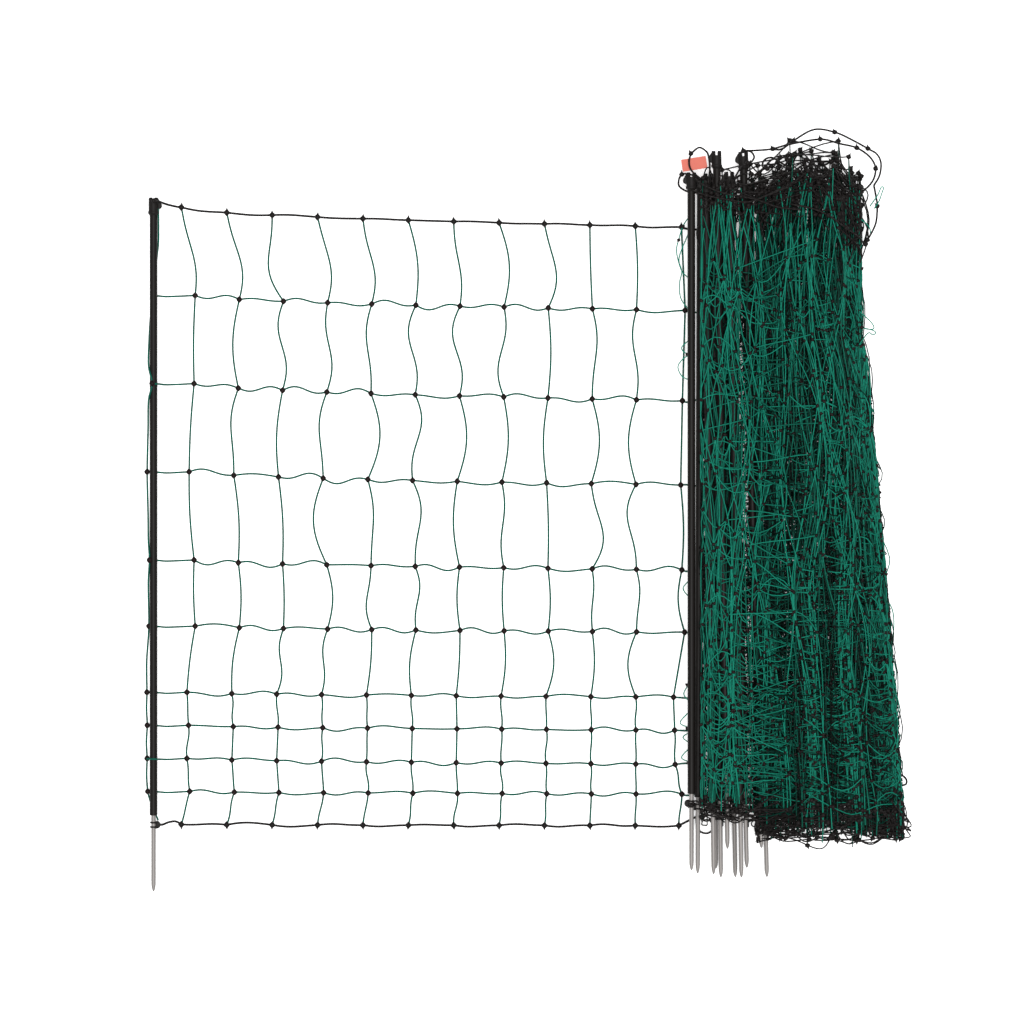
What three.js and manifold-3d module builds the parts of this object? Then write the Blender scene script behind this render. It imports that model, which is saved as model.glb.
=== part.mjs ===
// A length of poultry netting, laid flat on the floor with its twelve posts.
// The first bay is spread open between the left post and the others. The rest of the net is
// gathered over those posts and in a thick hank beside them.
// X runs along the net, Y towards the post heads, Z up from the floor. Millimetres.
import * as THREE from 'three';
import { mergeVertices } from 'three/addons/utils/BufferGeometryUtils.js';
import Module from 'manifold-3d';

const wasm = await Module();
wasm.setup();

// Clearance between pieces that touch
const GAP = 0.3;

// Netting: cells in rows, counted from the bottom line up
const SMALL_CELL = 60;
const MIDDLE_CELL = 120;
const LARGE_CELL = 160;
const CELL_ROWS = [
  SMALL_CELL, SMALL_CELL, SMALL_CELL, SMALL_CELL, MIDDLE_CELL,
  MIDDLE_CELL, LARGE_CELL, LARGE_CELL, LARGE_CELL, LARGE_CELL,
];
const COLUMN_PITCH = 81;
const SPREAD_COLUMNS = 12;
const FIRST_COLUMN_X = 65;
const TWINE = 2;
const KNOT = 4.5;
const LINE = 3;
const LINE_KNOT = 5.5;
const LINE_KNOT_HEIGHT = 5;
const FREE_END_STEPS = 16;

// How the spread bay hangs: each row leans sideways at the left and drops at the right
const ROW_LEAN = [-15, 0, -5, -2, -5, 10, 8, -1, 8, 10, -15];
const ROW_DROP = [2, 5, 11, 9, 9, 11, 18, 24, 31, 27, 36];
const DROP_CURVE = 0.55;

// Sideways bow of each upright twine in the six tall rows, at columns 1 to 12
const COLUMN_BOWS = [
  [-2, -5, 1, -2, 3, -7, 2, 5, 12, 5, -15, 0],
  [-2, 4, 2, 10, -8, 5, -5, -3, 4, 1, 5, -9],
  [-3, 5, 4, -21, 7, 11, -9, 0, 2, 18, -13, 4],
  [-2, -9, -7, -10, 19, 8, 15, 10, -7, 14, -14, 0],
  [-2, -11, -2, 4, -7, -7, -6, -5, 5, 7, -3, 0],
  [7, 11, -17, 12, 9, 10, 4, 14, 16, -1, 3, 0],
];
const FIRST_TALL_ROW = 4;

// Post: a plastic rod on a steel spike
const ROD_RADIUS = 7;
const ROD_SIDES = 10;
const SPIKE_RADIUS = 3.75;
const SPIKE_SIDES = 8;
const SPIKE_EXPOSED = 138;
const SPIKE_SEATED = 60;
const SPIKE_POINT = 14;
const SPIKE_TIP_RADIUS = 1.2;

// Moulded head: a cap with a cross slot for the top line and an eyelet fin
const HEAD_HEIGHT = 28;
const HEAD_ABOVE_LINE = 17;
const CAP_WALL = 1.7;
const FLANGE_LIP = 1;
const FLANGE_HEIGHT = 2.5;
const SLOT_WIDTH = 4;
const SLOT_DEPTH = 8;
const SLOT_FLOOR = 2;
const FIN_REACH = 6;
const FIN_FOOT = 6;
const FIN_HEIGHT = 19;
const FIN_EDGE = 4;
const FIN_THICKNESS = 5;
const EYE_RADIUS = 1.75;

// Foot clip: two rings on the spike and a knob beside them
const LINE_BELOW_ROD = 17;
const CLIP_WALL = 2.2;
const RING_HEIGHT = 3;
const RING_PITCH = 8;
const KNOB_REACH = 12.9;
const KNOB_HEIGHT = 13.6;
const KNOB_THICKNESS = 7;

// Gathered net: the left block lies over the posts, the hank beside them
const FLOOR_NET = 12;
const POST_LAYER_GAP = 1;
const VALLEY_HEIGHT = 42;
const BLOCK_SHOULDER = 0.84;
const HANK_WAIST = 190;
const HANK_SPREAD = 75;
const HANK_SPREAD_CURVE = 0.75;
const HANK_WAIST_Y = 862;
const HANK_HEIGHT_TOP = 79;
const HANK_HEIGHT_FOOT = 98;
const PLEAT_DEPTH = 3;
const HANK_PLEATS = 4;
const TOP_BAND = 135;
const TOP_BAND_LEFT = 84;
const TOP_BAND_OVERHANG = 20;
const FOOT_BAND = 76;
const FOOT_BAND_LEFT = 45;
const TOP_BAND_START = 4;
const FOOT_BAND_TOP = 2.5;

// Card tag on the top line
const TAG_WIDTH = 45;
const TAG_HEIGHT = 22;
const TAG_THICKNESS = 1.5;
const TAG_TILT = 9;
const TAG_INSET = 16;
const TAG_ABOVE_LINE = 75;
const TAG_SINK = 5;

// Heights of the rows of knots above the shoulder of the left post's rod
const rowHeights = [-LINE_BELOW_ROD];
for (const cell of CELL_ROWS) {
  rowHeights.push(rowHeights.at(-1) + cell);
}
const TOP_ROW = rowHeights.length - 1;
const TOP_LINE_Y = rowHeights[TOP_ROW];

// Post sizes that follow from the net and from each other
const POST_HEIGHT = TOP_LINE_Y + HEAD_ABOVE_LINE;
const BORE_RADIUS = (SPIKE_RADIUS + GAP) / Math.cos(Math.PI / SPIKE_SIDES);
const SEAT_RADIUS = ROD_RADIUS + GAP;
const CAP_RADIUS = SEAT_RADIUS + CAP_WALL;
const FLANGE_RADIUS = CAP_RADIUS + FLANGE_LIP;
const HEAD_FOOT_Y = POST_HEIGHT - HEAD_HEIGHT;
const ROD_LENGTH = POST_HEIGHT - SLOT_DEPTH - SLOT_FLOOR - GAP;
const FIN_END = CAP_RADIUS + FIN_REACH;
const RING_RADIUS = BORE_RADIUS + CLIP_WALL;

// Where the spread bay ends and the gathered net starts
const EDGE_COLUMN_X = -(ROD_RADIUS + KNOT + 1);
const LAST_COLUMN_X = FIRST_COLUMN_X + COLUMN_PITCH * (SPREAD_COLUMNS - 1);
const FOLDS_X = LAST_COLUMN_X + LINE_KNOT + 1;

// Posts in the bundle stand this far apart where head meets fin
const POST_PITCH = FLANGE_RADIUS + FIN_END + GAP;
const BLOCK_WIDTH = POST_PITCH * 5.22;

// Post axes above the floor: the left post, then three layers in the bundle
const LEFT_POST_Z = FLANGE_RADIUS;
const LAYER_PITCH = 2 * FLANGE_RADIUS + POST_LAYER_GAP;
const FIRST_LAYER_Z = FLOOR_NET + FLANGE_RADIUS;
const BLOCK_HEIGHT = FIRST_LAYER_Z + 2 * LAYER_PITCH;

// Bundled posts: foot and head place in post pitches from the start of the folds, the height
// of the rod's shoulder, the layer, and whether the fin points back to the spread bay
const BUNDLED_POSTS = [
  { foot: 0.43, head: 0.42, rise: 42, layer: 2, finLeft: true },
  { foot: 0.93, head: 1.13, rise: 35, layer: 1, finLeft: true },
  { foot: 1.95, head: 1.45, rise: 35, layer: 2, finLeft: true },
  { foot: 2.19, head: 1.71, rise: 43, layer: 0, finLeft: true },
  { foot: 2.5, head: 1.99, rise: 28, layer: 1, finLeft: false },
  { foot: 2.91, head: 2.21, rise: 81, layer: 2, finLeft: true },
  { foot: 3.53, head: 2.71, rise: 27, layer: 0, finLeft: false },
  { foot: 3.9, head: 3.15, rise: 29, layer: 2, finLeft: true },
  { foot: 4.28, head: 3.15, rise: 45, layer: 1, finLeft: true },
  { foot: 5.31, head: 4.15, rise: 81, layer: 1, finLeft: true },
  { foot: 5.75, head: 4.58, rise: 27, layer: 0, finLeft: true },
];

const blackPlastic = { color: 0x1b1918, roughness: 0.5, metalness: 0 };
const spikeSteel = { color: 0xb4aca5, roughness: 0.35, metalness: 1 };
const greenTwine = { color: 0x167a5c, roughness: 0.6, metalness: 0 };
const blackTwine = { color: 0x1c1816, roughness: 0.65, metalness: 0 };
const tagCard = { color: 0xe07a6a, roughness: 0.6, metalness: 0 };

const net = new THREE.Group();

function addPiece(name, geometry, finish, parent = net) {
  const mesh = new THREE.Mesh(geometry, new THREE.MeshStandardMaterial(finish));
  mesh.name = name;
  parent.add(mesh);
  return mesh;
}

// A closed geometry as a solid: shared corners merged, faces without area left out
function solid(geometry) {
  const loose = geometry.index ? geometry.toNonIndexed() : geometry;
  const bare = new THREE.BufferGeometry();
  bare.setAttribute('position', loose.getAttribute('position').clone());
  const merged = mergeVertices(bare, 1e-3);
  const triangles = [];
  const index = merged.index.array;
  for (let corner = 0; corner < index.length; corner += 3) {
    const [a, b, c] = [index[corner], index[corner + 1], index[corner + 2]];
    if (a !== b && b !== c && c !== a) {
      triangles.push(a, b, c);
    }
  }
  return new wasm.Manifold(new wasm.Mesh({
    numProp: 3,
    vertProperties: new Float32Array(merged.getAttribute('position').array),
    triVerts: new Uint32Array(triangles),
  }));
}

// A solid back as a geometry
function geometryOf(body) {
  const mesh = body.getMesh();
  const geometry = new THREE.BufferGeometry();
  geometry.setAttribute('position', new THREE.BufferAttribute(mesh.vertProperties, 3));
  geometry.setIndex(new THREE.BufferAttribute(mesh.triVerts, 1));
  return geometry;
}

function turned(profile, sides) {
  return new THREE.LatheGeometry(profile.map(([x, y]) => new THREE.Vector2(x, y)), sides);
}

function outline(points) {
  return new THREE.Shape(points.map(([x, y]) => new THREE.Vector2(x, y)));
}

function plate(shape, thickness) {
  return new THREE.ExtrudeGeometry(shape, { depth: thickness, bevelEnabled: false, curveSegments: 5 });
}

// Post pieces, each with its axis on Y and the rod's shoulder at the origin

function rodGeometry() {
  return turned([
    [0, SPIKE_SEATED + GAP],
    [BORE_RADIUS, SPIKE_SEATED + GAP],
    [BORE_RADIUS, 0],
    [ROD_RADIUS, 0],
    [ROD_RADIUS, ROD_LENGTH],
    [0, ROD_LENGTH],
  ], ROD_SIDES);
}

function spikeGeometry() {
  return turned([
    [0, -SPIKE_EXPOSED],
    [SPIKE_TIP_RADIUS, -SPIKE_EXPOSED],
    [SPIKE_RADIUS, -SPIKE_EXPOSED + SPIKE_POINT],
    [SPIKE_RADIUS, SPIKE_SEATED],
    [0, SPIKE_SEATED],
  ], SPIKE_SIDES);
}

function headGeometry() {
  const seatTop = ROD_LENGTH + GAP;
  const cap = solid(turned([
    [0, seatTop],
    [SEAT_RADIUS, seatTop],
    [SEAT_RADIUS, HEAD_FOOT_Y],
    [FLANGE_RADIUS, HEAD_FOOT_Y],
    [FLANGE_RADIUS, HEAD_FOOT_Y + FLANGE_HEIGHT],
    [CAP_RADIUS, HEAD_FOOT_Y + FLANGE_HEIGHT],
    [CAP_RADIUS, POST_HEIGHT],
    [0, POST_HEIGHT],
  ], ROD_SIDES));
  const finRoot = SEAT_RADIUS + GAP;
  const finY = HEAD_FOOT_Y + FIN_FOOT;
  const fin = outline([
    [finRoot, finY],
    [FIN_END, finY + FIN_EDGE],
    [FIN_END, finY + 2 * FIN_EDGE],
    [CAP_RADIUS, finY + FIN_HEIGHT],
    [finRoot, finY + FIN_HEIGHT],
  ]);
  const eye = new THREE.Path();
  eye.absarc(CAP_RADIUS + FIN_REACH / 2, finY + 2 * FIN_EDGE, EYE_RADIUS, 0, 2 * Math.PI, true);
  fin.holes.push(eye);
  const finBody = solid(plate(fin, FIN_THICKNESS).translate(0, 0, -FIN_THICKNESS / 2));
  const slotReach = 2 * FLANGE_RADIUS + 2;
  const slot = new THREE.BoxGeometry(SLOT_WIDTH, 2 * SLOT_DEPTH, slotReach).translate(0, POST_HEIGHT, 0);
  return geometryOf(cap.add(finBody).subtract(solid(slot)));
}

function clipGeometry() {
  const rings = [-1, 1].map((side) => {
    const middle = -LINE_BELOW_ROD + side * RING_PITCH / 2;
    return solid(turned([
      [BORE_RADIUS, middle - RING_HEIGHT / 2],
      [RING_RADIUS, middle - RING_HEIGHT / 2],
      [RING_RADIUS, middle + RING_HEIGHT / 2],
      [BORE_RADIUS, middle + RING_HEIGHT / 2],
      [BORE_RADIUS, middle - RING_HEIGHT / 2],
    ], SPIKE_SIDES));
  });
  const root = BORE_RADIUS + CLIP_WALL / 2;
  const half = KNOB_HEIGHT / 2;
  const knob = new THREE.Shape();
  knob.moveTo(root, -half);
  knob.lineTo(KNOB_REACH - half, -half);
  knob.absarc(KNOB_REACH - half, 0, half, -Math.PI / 2, Math.PI / 2, false);
  knob.lineTo(root, half);
  const knobBody = plate(knob, KNOB_THICKNESS).translate(0, -LINE_BELOW_ROD, -KNOB_THICKNESS / 2);
  return geometryOf(rings[0].add(rings[1]).add(solid(knobBody)));
}

// A faceted hole whose flats stay clear of a round piece
function roomRadius(radius) {
  return (radius + GAP) / Math.cos(Math.PI / ROD_SIDES);
}

// The room that one post takes up in the gathered net, with clearance all round
function postRoom() {
  const spike = roomRadius(SPIKE_RADIUS);
  const clip = roomRadius(RING_RADIUS);
  const rod = roomRadius(ROD_RADIUS);
  const head = roomRadius(FLANGE_RADIUS);
  const clipFoot = -LINE_BELOW_ROD - KNOB_HEIGHT / 2 - GAP;
  const clipTop = -LINE_BELOW_ROD + KNOB_HEIGHT / 2 + GAP;
  const headFoot = HEAD_FOOT_Y - GAP;
  const headTop = POST_HEIGHT + GAP;
  const shaft = solid(turned([
    [0, -SPIKE_EXPOSED - GAP],
    [spike, -SPIKE_EXPOSED - GAP],
    [spike, clipFoot],
    [clip, clipFoot],
    [clip, clipTop],
    [rod, clipTop],
    [rod, headFoot],
    [head, headFoot],
    [head, headTop],
    [0, headTop],
  ], ROD_SIDES));
  const finRoom = new THREE.BoxGeometry(FIN_END + GAP, FIN_HEIGHT + 2 * GAP, FIN_THICKNESS + 2 * GAP);
  finRoom.translate((FIN_END + GAP) / 2, HEAD_FOOT_Y + FIN_FOOT + FIN_HEIGHT / 2, 0);
  const knobRoom = new THREE.BoxGeometry(KNOB_REACH + GAP, KNOB_HEIGHT + 2 * GAP, KNOB_THICKNESS + 2 * GAP);
  knobRoom.translate((KNOB_REACH + GAP) / 2, -LINE_BELOW_ROD, 0);
  return shaft.add(solid(finRoom)).add(solid(knobRoom));
}

// A post standing at its own place: the group is turned in the plane of the net
function postGroup({ x, y, z, lean, finSide }) {
  const group = new THREE.Group();
  group.position.set(x, y, z);
  group.rotation.set(0, finSide < 0 ? Math.PI : 0, lean);
  group.rotation.order = 'ZYX';
  return group;
}

function addPost(number, place) {
  const group = postGroup(place);
  addPiece(`post_rod_${number}`, rodGeometry(), blackPlastic, group);
  addPiece(`post_spike_${number}`, spikeGeometry(), spikeSteel, group);
  addPiece(`post_head_${number}`, headGeometry(), blackPlastic, group);
  addPiece(`foot_clip_${number}`, clipGeometry(), blackPlastic, group);
  net.add(group);
}

const leftPost = { x: 0, y: 0, z: LEFT_POST_Z, lean: 0, finSide: 1 };

const bundledPosts = BUNDLED_POSTS.map(({ foot, head, rise, layer, finLeft }) => ({
  x: FOLDS_X + foot * POST_PITCH,
  y: rise,
  z: FIRST_LAYER_Z + layer * LAYER_PITCH,
  lean: Math.asin((foot - head) * POST_PITCH / POST_HEIGHT),
  finSide: finLeft ? -1 : 1,
}));

[leftPost, ...bundledPosts].forEach((place, index) => {
  addPost(String(index + 1).padStart(2, '0'), place);
});

// Spread bay

// Where the twines of a column and a row are knotted
function knotAt(column, row) {
  if (column === 0) {
    return new THREE.Vector2(EDGE_COLUMN_X, rowHeights[row]);
  }
  const along = (column - 1) / (SPREAD_COLUMNS - 1);
  return new THREE.Vector2(
    FIRST_COLUMN_X + COLUMN_PITCH * (column - 1) + ROW_LEAN[row] * (1 - along),
    rowHeights[row] - ROW_DROP[row] * along ** DROP_CURVE,
  );
}

// The bowed middle of the upright twine above a knot: none in the low rows and beside the post
function uprightMiddle(column, row) {
  if (column === 0 || row < FIRST_TALL_ROW) {
    return [];
  }
  const middle = knotAt(column, row).lerp(knotAt(column, row + 1), 0.5);
  middle.x += COLUMN_BOWS[row - FIRST_TALL_ROW][column - 1];
  return [middle];
}

const HALF = TWINE / 2;
const KNOT_SIDE = KNOT - HALF;

// Where a twine leaves the diamond of a knot: dx and dy point into the cell beside it
function besideKnot(column, row, dx, dy, alongRow) {
  const knot = knotAt(column, row);
  knot.x += dx * (alongRow ? KNOT_SIDE : HALF);
  knot.y += dy * (alongRow ? HALF : KNOT_SIDE);
  return knot;
}

function shifted(point, dx, dy) {
  return new THREE.Vector2(point.x + dx, point.y + dy);
}

// The open cell to the upper right of a knot
function cellHole(column, row) {
  const next = column + 1;
  const upper = row + 1;
  return [
    besideKnot(column, row, 1, 1, true),
    besideKnot(next, row, -1, 1, true),
    besideKnot(next, row, -1, 1, false),
    ...uprightMiddle(next, row).map((middle) => shifted(middle, -HALF, 0)),
    besideKnot(next, upper, -1, -1, false),
    besideKnot(next, upper, -1, -1, true),
    besideKnot(column, upper, 1, -1, true),
    besideKnot(column, upper, 1, -1, false),
    ...uprightMiddle(column, row).map((middle) => shifted(middle, HALF, 0)),
    besideKnot(column, row, 1, 1, false),
  ];
}

const LOWEST_GREEN_ROW = 1;
const HIGHEST_GREEN_ROW = TOP_ROW - 1;

// End of an upright twine at a line's knot, or beside the left post for column 0
function stubEnd(column, row, direction) {
  if (column === 0) {
    const end = direction > 0 ? HEAD_FOOT_Y - GAP : -LINE_BELOW_ROD;
    return new THREE.Vector2(EDGE_COLUMN_X / 2, end);
  }
  const knot = knotAt(column, row);
  return shifted(knot, 0, -direction * (LINE_KNOT + GAP));
}

// The outer edge of the spread net, anticlockwise from the lower left
function spreadOutline() {
  const points = [];
  const last = SPREAD_COLUMNS;
  const low = LOWEST_GREEN_ROW;
  const high = HIGHEST_GREEN_ROW;
  for (let column = 0; column <= last; column += 1) {
    const end = stubEnd(column, low - 1, -1);
    if (column > 0) {
      points.push(besideKnot(column, low, -1, -1, true));
    }
    points.push(besideKnot(column, low, -1, -1, false));
    points.push(shifted(end, -HALF, 0), shifted(end, HALF, 0));
    points.push(besideKnot(column, low, 1, -1, false));
    points.push(besideKnot(column, low, 1, -1, true));
  }
  for (let row = low; row <= high; row += 1) {
    const { y } = knotAt(last, row);
    points.push(new THREE.Vector2(FOLDS_X - GAP, y - HALF));
    points.push(new THREE.Vector2(FOLDS_X - GAP, y + HALF));
    points.push(besideKnot(last, row, 1, 1, true));
    points.push(besideKnot(last, row, 1, 1, false));
    if (row < high) {
      points.push(...uprightMiddle(last, row).map((middle) => shifted(middle, HALF, 0)));
      points.push(besideKnot(last, row + 1, 1, -1, false));
      points.push(besideKnot(last, row + 1, 1, -1, true));
    }
  }
  for (let column = last; column >= 0; column -= 1) {
    const end = stubEnd(column, high + 1, 1);
    const [middle] = uprightMiddle(column, high);
    if (column < last) {
      points.push(besideKnot(column, high, 1, 1, true));
      points.push(besideKnot(column, high, 1, 1, false));
    }
    if (middle) {
      points.push(shifted(middle, HALF, 0));
    }
    points.push(shifted(end, HALF, 0), shifted(end, -HALF, 0));
    if (middle) {
      points.push(shifted(middle, -HALF, 0));
    }
    points.push(besideKnot(column, high, -1, 1, false));
    if (column > 0) {
      points.push(besideKnot(column, high, -1, 1, true));
    }
  }
  for (let row = high; row >= low; row -= 1) {
    points.push(shifted(knotAt(0, row), -KNOT, 0));
    if (row > low) {
      points.push(besideKnot(0, row, -1, -1, false));
      points.push(besideKnot(0, row - 1, -1, 1, false));
    }
  }
  return points;
}

const spreadShape = new THREE.Shape(spreadOutline());
for (let row = LOWEST_GREEN_ROW; row < HIGHEST_GREEN_ROW; row += 1) {
  for (let column = 0; column < SPREAD_COLUMNS; column += 1) {
    spreadShape.holes.push(new THREE.Path(cellHole(column, row)));
  }
}
addPiece('mesh_spread', plate(spreadShape, TWINE), greenTwine);

const LINE_Z = LINE_KNOT_HEIGHT / 2;

// A square cord along a smooth path through the given points
function cord(points, steps) {
  const half = LINE / 2;
  const section = outline([[-half, -half], [half, -half], [half, half], [-half, half]]);
  const path = new THREE.CatmullRomCurve3(points, false, 'centripetal');
  return solid(new THREE.ExtrudeGeometry(section, { steps, extrudePath: path, bevelEnabled: false }));
}

// A line of the spread bay: its free end up to the first knot, then on to the folds, with a
// flat diamond knot at every column
function knottedLine(freeEnd, row) {
  const knots = [];
  for (let column = 1; column <= SPREAD_COLUMNS; column += 1) {
    const knot = knotAt(column, row);
    knots.push(new THREE.Vector3(knot.x, knot.y, LINE_Z));
  }
  const foldsEnd = new THREE.Vector3(FOLDS_X - GAP, knots.at(-1).y, LINE_Z);
  const diamond = outline([[0, -LINE_KNOT], [LINE_KNOT, 0], [0, LINE_KNOT], [-LINE_KNOT, 0]]);
  let body = cord([...freeEnd, knots[0]], FREE_END_STEPS).add(cord([...knots, foldsEnd], 3 * SPREAD_COLUMNS));
  for (const knot of knots) {
    body = body.add(solid(plate(diamond, LINE_KNOT_HEIGHT).translate(knot.x, knot.y, 0)));
  }
  return body;
}

// The top line lies in the left head's slot, ends in a stop knot over it and comes down
const slotFloorY = POST_HEIGHT - SLOT_DEPTH;
const cordInSlotY = slotFloorY + GAP + LINE / 2;
const headTopZ = LEFT_POST_Z + FLANGE_RADIUS;
const topLine = knottedLine([
  new THREE.Vector3(0, cordInSlotY, LEFT_POST_Z - CAP_RADIUS / 2),
  new THREE.Vector3(0, cordInSlotY, LEFT_POST_Z + CAP_RADIUS / 2),
  new THREE.Vector3(0, cordInSlotY, headTopZ),
  new THREE.Vector3(CAP_RADIUS / 3, cordInSlotY, headTopZ + LINE),
  new THREE.Vector3(CAP_RADIUS + LINE, cordInSlotY - LINE / 2, headTopZ + LINE / 2),
  new THREE.Vector3(FIN_END + 3 * LINE, cordInSlotY - 2 * LINE, LEFT_POST_Z),
], TOP_ROW);
const stopKnot = new THREE.IcosahedronGeometry(1.5 * LINE, 1);
stopKnot.translate(CAP_RADIUS / 6, cordInSlotY, headTopZ + 2 * LINE);
addPiece('top_line_spread', geometryOf(topLine.add(solid(stopKnot))), blackTwine);

// The bottom line starts at the knob of the left foot clip
const bottomLine = knottedLine([
  new THREE.Vector3(KNOB_REACH + GAP, -LINE_BELOW_ROD, LEFT_POST_Z),
  new THREE.Vector3(KNOB_REACH + GAP + LINE, -LINE_BELOW_ROD, LEFT_POST_Z),
  new THREE.Vector3(KNOB_REACH + 5 * LINE, -LINE_BELOW_ROD + LINE / 2, LEFT_POST_Z / 2),
], 0);
addPiece('bottom_line_spread', geometryOf(bottomLine), blackTwine);

// Gathered net

const clamp = THREE.MathUtils.clamp;
const netFootY = rowHeights[0];
const foldsTopY = TOP_LINE_Y + TOP_BAND_START;
const foldsFootY = rowHeights[1] + FOOT_BAND_TOP;

function hankWidth(y) {
  const drop = clamp((HANK_WAIST_Y - y) / (HANK_WAIST_Y - netFootY), 0, 1);
  return HANK_WAIST + HANK_SPREAD * drop ** HANK_SPREAD_CURVE;
}

function hankHeight(y) {
  return THREE.MathUtils.lerp(HANK_HEIGHT_FOOT, HANK_HEIGHT_TOP, clamp(y / TOP_LINE_Y, 0, 1));
}

const HANK_STEPS = 16;

// Cross-section of the gathered net, 0 to 1 across the block over the posts and 1 to 2 across
// the hank, 0 to 1 in height: a flat underside, a block, a valley and a pleated dome
function foldsSection() {
  const valley = VALLEY_HEIGHT / HANK_HEIGHT_FOOT;
  const block = BLOCK_HEIGHT / HANK_HEIGHT_FOOT;
  const points = [new THREE.Vector2(2, 0)];
  for (let step = 0; step <= HANK_STEPS; step += 1) {
    const across = 1 - step / HANK_STEPS;
    const dome = Math.sin(Math.PI * clamp(0.08 + 0.84 * across, 0, 1)) ** 0.5;
    const pleat = Math.cos(2 * Math.PI * HANK_PLEATS * across) * PLEAT_DEPTH / HANK_HEIGHT_FOOT;
    const height = step === HANK_STEPS ? valley : (1 - PLEAT_DEPTH / HANK_HEIGHT_FOOT) * dome + pleat;
    points.push(new THREE.Vector2(1 + across, height));
  }
  points.push(new THREE.Vector2((1 + BLOCK_SHOULDER) / 2, (2 * valley + block) / 3));
  points.push(new THREE.Vector2(BLOCK_SHOULDER, block));
  points.push(new THREE.Vector2(0, block));
  points.push(new THREE.Vector2(0, 0));
  return new THREE.Shape(points);
}

// The folds between two heights. The ends may run out further on the hank side: bottomAt and
// topAt give their height for a place across the section.
function foldsBody(bottomAt, topAt, steps, widthAt, heightAt) {
  const geometry = new THREE.ExtrudeGeometry(foldsSection(), { depth: 1, steps, bevelEnabled: false });
  geometry.rotateX(Math.PI / 2);
  const position = geometry.getAttribute('position');
  for (let corner = 0; corner < position.count; corner += 1) {
    const across = position.getX(corner);
    const down = -position.getY(corner);
    const up = position.getZ(corner);
    const y = THREE.MathUtils.lerp(topAt(across), bottomAt(across), down);
    const x = FOLDS_X + BLOCK_WIDTH * Math.min(across, 1) + Math.max(across - 1, 0) * widthAt(y);
    const inHank = THREE.MathUtils.smoothstep(across, 1, 1.3);
    position.setXYZ(corner, x, y, up * THREE.MathUtils.lerp(HANK_HEIGHT_FOOT, heightAt(y), inHank));
  }
  return solid(geometry);
}

// Cut room for every bundled post, and keep the one body that is left
function withRoomForPosts(body) {
  const room = postRoom();
  let carved = body;
  for (const place of bundledPosts) {
    const post = postGroup(place);
    post.updateMatrix();
    carved = carved.subtract(room.transform(post.matrix.elements));
  }
  const bodies = carved.decompose();
  bodies.sort((one, other) => other.volume() - one.volume());
  return geometryOf(bodies[0]);
}

const folds = foldsBody(() => foldsFootY, () => foldsTopY, 10, hankWidth, hankHeight);
addPiece('mesh_folds', withRoomForPosts(folds), greenTwine);

// Black band of gathered top line: low over the posts, domed over the hank
function topBandEdge(across) {
  if (across <= 1) {
    return foldsTopY + TOP_BAND_LEFT;
  }
  const dome = Math.sin(Math.PI * clamp(0.12 + 0.72 * (across - 1), 0, 1));
  return foldsTopY + TOP_BAND_LEFT + (TOP_BAND - TOP_BAND_LEFT) * dome;
}

function topBandWidth(y) {
  const rise = clamp((y - foldsTopY) / TOP_BAND, 0, 1);
  return HANK_WAIST + TOP_BAND_OVERHANG * Math.sin(Math.PI * rise);
}

function topBandHeight(y) {
  const rise = clamp((y - foldsTopY) / TOP_BAND, 0, 1);
  return HANK_HEIGHT_TOP * (1 - 0.35 * rise ** 2);
}

// The tag lies in a recess in the face of the top band
const tagY = TOP_LINE_Y + TAG_ABOVE_LINE;
const tagZ = BLOCK_HEIGHT - TAG_SINK;

function tagBox(width, height, depth) {
  const tag = new THREE.BoxGeometry(width, height, depth).translate(0, 0, depth / 2);
  return tag.rotateZ(THREE.MathUtils.degToRad(TAG_TILT)).translate(FOLDS_X + TAG_INSET, tagY, tagZ);
}

addPiece('net_tag', tagBox(TAG_WIDTH, TAG_HEIGHT, TAG_THICKNESS), tagCard);
const recess = tagBox(TAG_WIDTH + 2 * GAP, TAG_HEIGHT + 2 * GAP, BLOCK_HEIGHT).translate(0, 0, -GAP);
const topBand = foldsBody(() => foldsTopY + GAP, topBandEdge, 5, topBandWidth, topBandHeight);
addPiece('top_line_folds', withRoomForPosts(topBand.subtract(solid(recess))), blackTwine);

// Black band of gathered bottom line, longer under the hank
function footBandEdge(across) {
  const drop = THREE.MathUtils.smoothstep(across, 0.9, 1.3);
  return foldsFootY - GAP - THREE.MathUtils.lerp(FOOT_BAND_LEFT, FOOT_BAND, drop);
}

const footBand = foldsBody(footBandEdge, () => foldsFootY - GAP, 3, hankWidth, hankHeight);
addPiece('bottom_line_folds', withRoomForPosts(footBand), blackTwine);

// Rest the whole on the floor, with the middle of its footprint at the origin
const box = new THREE.Box3().setFromObject(net);
const middle = box.getCenter(new THREE.Vector3());
net.position.set(-middle.x, -middle.y, -box.min.z);

const group = new THREE.Group();
group.add(net);

export default group;
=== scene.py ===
import math

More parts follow.
